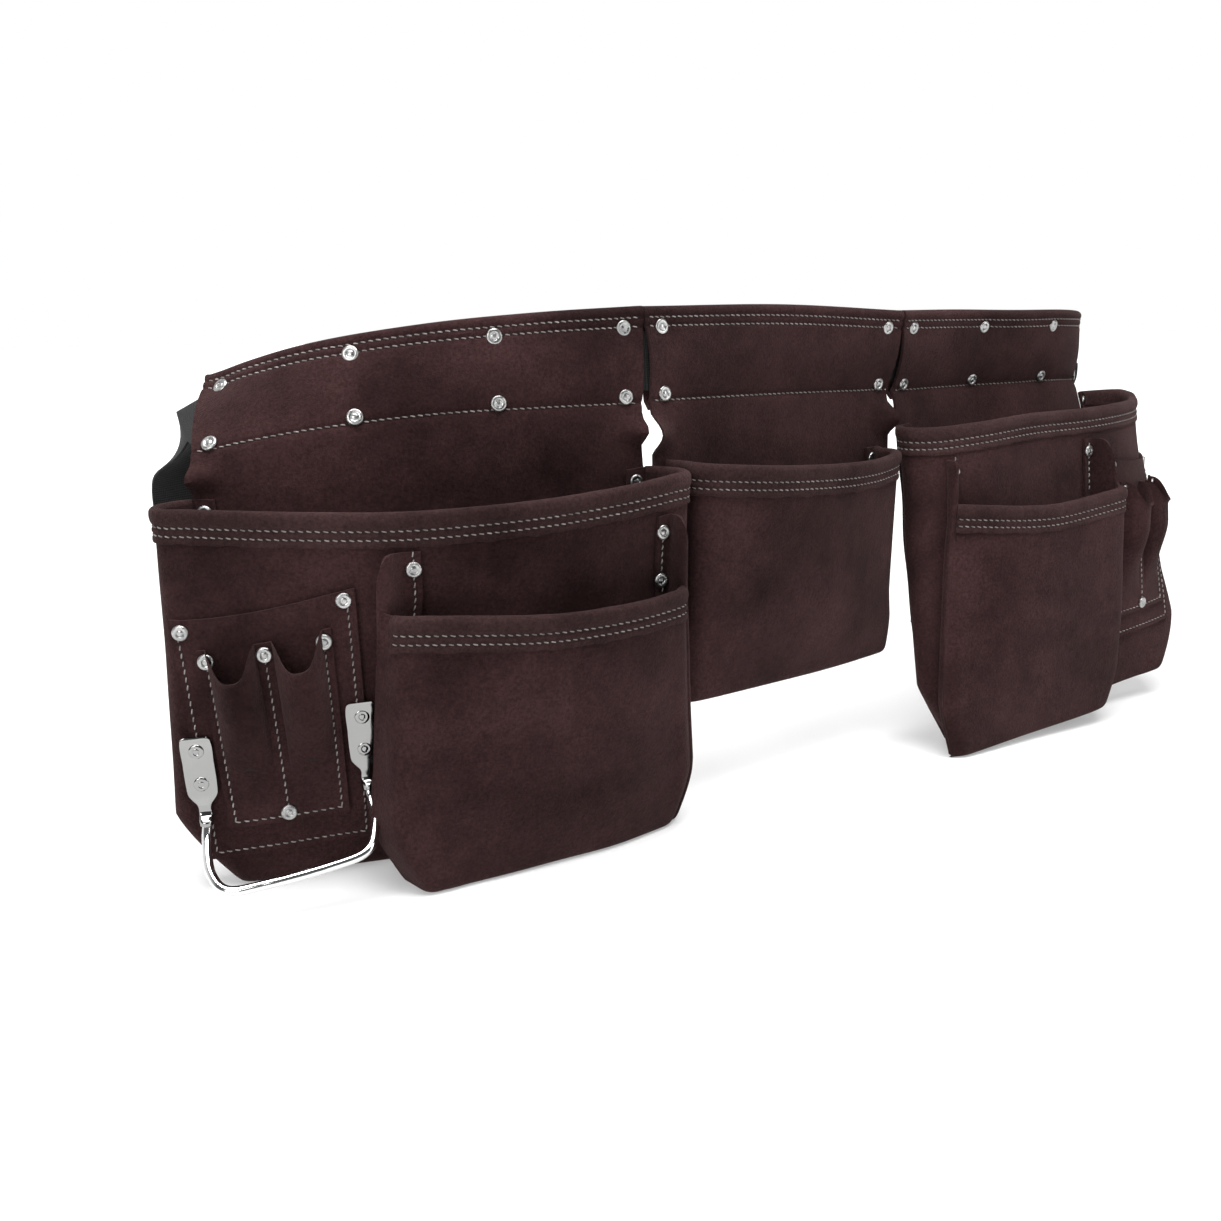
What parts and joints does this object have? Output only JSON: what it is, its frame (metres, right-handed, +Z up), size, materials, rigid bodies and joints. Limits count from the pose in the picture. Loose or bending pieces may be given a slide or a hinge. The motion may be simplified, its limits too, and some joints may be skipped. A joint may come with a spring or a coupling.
{
  "type": "tool belt",
  "caption": "Suede tool belt: side pouches with small pockets and tool slots, a flat centre pouch and a hammer loop, sleeved on one webbing strap and standing on its pouches.",
  "frame": {"origin": "middle of the footprint on the surface that the pouches stand on", "axes": "+X along the belt from the wearer's hammer side to the other side, -Y out of the pouches' fronts, +Z up"},
  "size_m": [0.8266, 0.3564, 0.3237],
  "materials": {
    "suede": "napped dark brown suede",
    "webbing": "black woven webbing",
    "plastic": "black moulded plastic",
    "chrome": "bright plated steel",
    "rivet": "nickel plated, satin"
  },
  "bodies": {
    "root": {"left_back_panel": "suede", "centre_back_panel": "suede", "right_back_panel": "suede", "left_big_pouch": "suede", "centre_pouch": "suede", "right_big_pouch": "suede", "left_small_pocket": "suede", "right_small_pocket": "suede", "left_tool_panel": "suede", "right_tool_panel": "suede", "left_tool_slots": "suede", "right_tool_slots": "suede", "left_buckle_half": "plastic", "right_buckle_half": "plastic", "hammer_plate_outer": "chrome", "hammer_plate_inner": "chrome", "hammer_loop": "chrome", "webbing": "webbing", "left_sleeve_rivet_1": "rivet", "left_sleeve_rivet_2": "rivet", "left_sleeve_rivet_3": "rivet", "left_sleeve_rivet_4": "rivet", "left_sleeve_rivet_5": "rivet", "left_sleeve_rivet_6": "rivet", "left_sleeve_rivet_7": "rivet", "left_sleeve_rivet_8": "rivet", "centre_sleeve_rivet_1": "rivet", "centre_sleeve_rivet_2": "rivet", "centre_sleeve_rivet_3": "rivet", "centre_sleeve_rivet_4": "rivet", "right_sleeve_rivet_1": "rivet", "right_sleeve_rivet_2": "rivet", "right_sleeve_rivet_3": "rivet", "right_sleeve_rivet_4": "rivet", "right_sleeve_rivet_5": "rivet", "right_sleeve_rivet_6": "rivet", "right_sleeve_rivet_7": "rivet", "right_sleeve_rivet_8": "rivet"}
  },
  "joints": []
}
